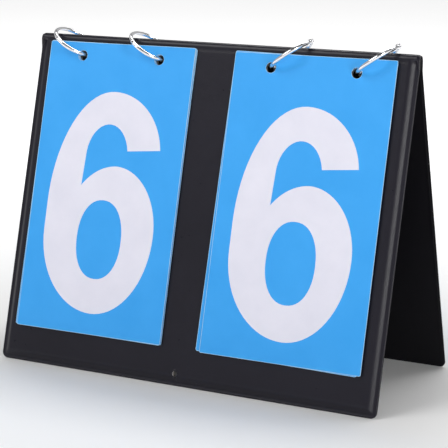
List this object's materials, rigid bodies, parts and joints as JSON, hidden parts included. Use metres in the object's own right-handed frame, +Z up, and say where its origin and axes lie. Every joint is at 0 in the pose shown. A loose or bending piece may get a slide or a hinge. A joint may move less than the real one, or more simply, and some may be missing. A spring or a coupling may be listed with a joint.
{
  "type": "scoring board",
  "caption": "Tabletop flip scoring board: two stiff vinyl-covered panels folded at the top, with packs of number cards on loose-leaf rings.",
  "frame": {"origin": "on the table, midway between the feet of the two panels and midway along the board", "axes": "+X along the fold to the right of the front, +Y from the front panel to the back panel, +Z up"},
  "size_m": [0.24, 0.1066, 0.1931],
  "materials": {
    "cover_vinyl": "satin black vinyl sheet, slightly grained",
    "lining_vinyl": "smooth black vinyl sheet",
    "greyboard": "dull grey bookbinder's board",
    "ring_chrome": "polished nickel-chrome wire",
    "card_plastic": "smooth semi-gloss printed plastic card"
  },
  "bodies": {
    "front_panel": {"front_core": "greyboard", "front_cover": "cover_vinyl", "front_lining": "lining_vinyl", "front_fold_lap": "lining_vinyl"},
    "fold_strip": {"fold_strip": "cover_vinyl"},
    "back_panel": {"back_core": "greyboard", "back_cover": "cover_vinyl", "back_lining": "lining_vinyl", "back_fold_lap": "lining_vinyl"},
    "ring_1": {"ring_1_fixed_half": "ring_chrome", "ring_1_hinge_pin": "ring_chrome"},
    "ring_1_gate": {"ring_1_gate_half": "ring_chrome"},
    "ring_2": {"ring_2_fixed_half": "ring_chrome", "ring_2_hinge_pin": "ring_chrome"},
    "ring_2_gate": {"ring_2_gate_half": "ring_chrome"},
    "ring_3": {"ring_3_fixed_half": "ring_chrome", "ring_3_hinge_pin": "ring_chrome"},
    "ring_3_gate": {"ring_3_gate_half": "ring_chrome"},
    "ring_4": {"ring_4_fixed_half": "ring_chrome", "ring_4_hinge_pin": "ring_chrome"},
    "ring_4_gate": {"ring_4_gate_half": "ring_chrome"},
    "left_card_9": {"left_card_9": "card_plastic"},
    "left_card_8": {"left_card_8": "card_plastic"},
    "left_card_7": {"left_card_7": "card_plastic"},
    "left_card_6": {"left_card_6": "card_plastic"},
    "left_card_0": {"left_card_0": "card_plastic"},
    "left_card_1": {"left_card_1": "card_plastic"},
    "left_card_2": {"left_card_2": "card_plastic"},
    "left_card_3": {"left_card_3": "card_plastic"},
    "left_card_4": {"left_card_4": "card_plastic"},
    "left_card_5": {"left_card_5": "card_plastic"},
    "right_card_9": {"right_card_9": "card_plastic"},
    "right_card_8": {"right_card_8": "card_plastic"},
    "right_card_7": {"right_card_7": "card_plastic"},
    "right_card_6": {"right_card_6": "card_plastic"},
    "right_card_0": {"right_card_0": "card_plastic"},
    "right_card_1": {"right_card_1": "card_plastic"},
    "right_card_2": {"right_card_2": "card_plastic"},
    "right_card_3": {"right_card_3": "card_plastic"},
    "right_card_4": {"right_card_4": "card_plastic"},
    "right_card_5": {"right_card_5": "card_plastic"}
  },
  "joints": [
    {"name": "board_fold", "type": "hinge", "parent": "front_panel", "child": "back_panel", "pos_m": [0, 0, 0.18474], "axis": [1, 0, 0], "range_deg": [-30, 6]},
    {"name": "fold_strip_turn", "type": "hinge", "parent": "front_panel", "child": "fold_strip", "pos_m": [0, 0, 0.18474], "axis": [1, 0, 0], "range_deg": [-15, 3]},
    {"name": "ring_1_lean", "type": "hinge", "parent": "fold_strip", "child": "ring_1", "pos_m": [-0.08755, 0, 0.17667], "axis": [0, 1, 0], "range_deg": [0, 75]},
    {"name": "ring_1_opening", "type": "hinge", "parent": "ring_1", "child": "ring_1_gate", "pos_m": [-0.09218, 0.01126, 0.17968], "axis": [0.5446, 0, 0.8387], "range_deg": [-50, 0]},
    {"name": "ring_2_lean", "type": "hinge", "parent": "fold_strip", "child": "ring_2", "pos_m": [-0.03605, 0, 0.17667], "axis": [0, 1, 0], "range_deg": [0, 75]},
    {"name": "ring_2_opening", "type": "hinge", "parent": "ring_2", "child": "ring_2_gate", "pos_m": [-0.04068, 0.01126, 0.17968], "axis": [0.5446, 0, 0.8387], "range_deg": [-50, 0]},
    {"name": "ring_3_lean", "type": "hinge", "parent": "fold_strip", "child": "ring_3", "pos_m": [0.03405, 0, 0.17667], "axis": [0, 1, 0], "range_deg": [-75, 0]},
    {"name": "ring_3_opening", "type": "hinge", "parent": "ring_3", "child": "ring_3_gate", "pos_m": [0.05452, 0.00091, 0.191], "axis": [0.5736, 0, -0.8192], "range_deg": [-50, 0]},
    {"name": "ring_4_lean", "type": "hinge", "parent": "fold_strip", "child": "ring_4", "pos_m": [0.08555, 0, 0.17667], "axis": [0, 1, 0], "range_deg": [-75, 0]},
    {"name": "ring_4_opening", "type": "hinge", "parent": "ring_4", "child": "ring_4_gate", "pos_m": [0.10602, 0.00091, 0.191], "axis": [0.5736, 0, -0.8192], "range_deg": [-50, 0]},
    {"name": "left_card_9_lift", "type": "hinge", "parent": "front_panel", "child": "left_card_9", "pos_m": [0, -0.00353, 0.18468], "axis": [1, 0, 0], "range_deg": [-2, 0]},
    {"name": "left_card_8_lift", "type": "hinge", "parent": "left_card_9", "child": "left_card_8", "pos_m": [0, -0.00397, 0.1848], "axis": [1, 0, 0], "range_deg": [-2, 0]},
    {"name": "left_card_7_lift", "type": "hinge", "parent": "left_card_8", "child": "left_card_7", "pos_m": [0, -0.0044, 0.18493], "axis": [1, 0, 0], "range_deg": [-2, 0]},
    {"name": "left_card_6_lift", "type": "hinge", "parent": "left_card_7", "child": "left_card_6", "pos_m": [0, -0.00483, 0.18505], "axis": [1, 0, 0], "range_deg": [-2, 0]},
    {"name": "left_card_0_lift", "type": "hinge", "parent": "back_panel", "child": "left_card_0", "pos_m": [0, 0.00353, 0.18468], "axis": [1, 0, 0], "range_deg": [0, 1]},
    {"name": "left_card_1_lift", "type": "hinge", "parent": "left_card_0", "child": "left_card_1", "pos_m": [0, 0.00397, 0.1848], "axis": [1, 0, 0], "range_deg": [0, 1]},
    {"name": "left_card_2_lift", "type": "hinge", "parent": "left_card_1", "child": "left_card_2", "pos_m": [0, 0.0044, 0.18493], "axis": [1, 0, 0], "range_deg": [0, 1]},
    {"name": "left_card_3_lift", "type": "hinge", "parent": "left_card_2", "child": "left_card_3", "pos_m": [0, 0.00483, 0.18505], "axis": [1, 0, 0], "range_deg": [0, 1]},
    {"name": "left_card_4_lift", "type": "hinge", "parent": "left_card_3", "child": "left_card_4", "pos_m": [0, 0.00527, 0.18517], "axis": [1, 0, 0], "range_deg": [0, 1]},
    {"name": "left_card_5_lift", "type": "hinge", "parent": "left_card_4", "child": "left_card_5", "pos_m": [0, 0.0057, 0.18529], "axis": [1, 0, 0], "range_deg": [0, 1]},
    {"name": "right_card_9_lift", "type": "hinge", "parent": "front_panel", "child": "right_card_9", "pos_m": [0, -0.00353, 0.18468], "axis": [1, 0, 0], "range_deg": [-2, 0]},
    {"name": "right_card_8_lift", "type": "hinge", "parent": "right_card_9", "child": "right_card_8", "pos_m": [0, -0.00397, 0.1848], "axis": [1, 0, 0], "range_deg": [-2, 0]},
    {"name": "right_card_7_lift", "type": "hinge", "parent": "right_card_8", "child": "right_card_7", "pos_m": [0, -0.0044, 0.18493], "axis": [1, 0, 0], "range_deg": [-2, 0]},
    {"name": "right_card_6_lift", "type": "hinge", "parent": "right_card_7", "child": "right_card_6", "pos_m": [0, -0.00483, 0.18505], "axis": [1, 0, 0], "range_deg": [-2, 0]},
    {"name": "right_card_0_lift", "type": "hinge", "parent": "back_panel", "child": "right_card_0", "pos_m": [0, 0.00353, 0.18468], "axis": [1, 0, 0], "range_deg": [0, 1]},
    {"name": "right_card_1_lift", "type": "hinge", "parent": "right_card_0", "child": "right_card_1", "pos_m": [0, 0.00397, 0.1848], "axis": [1, 0, 0], "range_deg": [0, 1]},
    {"name": "right_card_2_lift", "type": "hinge", "parent": "right_card_1", "child": "right_card_2", "pos_m": [0, 0.0044, 0.18493], "axis": [1, 0, 0], "range_deg": [0, 1]},
    {"name": "right_card_3_lift", "type": "hinge", "parent": "right_card_2", "child": "right_card_3", "pos_m": [0, 0.00483, 0.18505], "axis": [1, 0, 0], "range_deg": [0, 1]},
    {"name": "right_card_4_lift", "type": "hinge", "parent": "right_card_3", "child": "right_card_4", "pos_m": [0, 0.00527, 0.18517], "axis": [1, 0, 0], "range_deg": [0, 1]},
    {"name": "right_card_5_lift", "type": "hinge", "parent": "right_card_4", "child": "right_card_5", "pos_m": [0, 0.0057, 0.18529], "axis": [1, 0, 0], "range_deg": [0, 1]}
  ],
  "couplings": [
    {"joint": "fold_strip_turn", "follows": "board_fold", "ratio": 0.5}
  ]
}
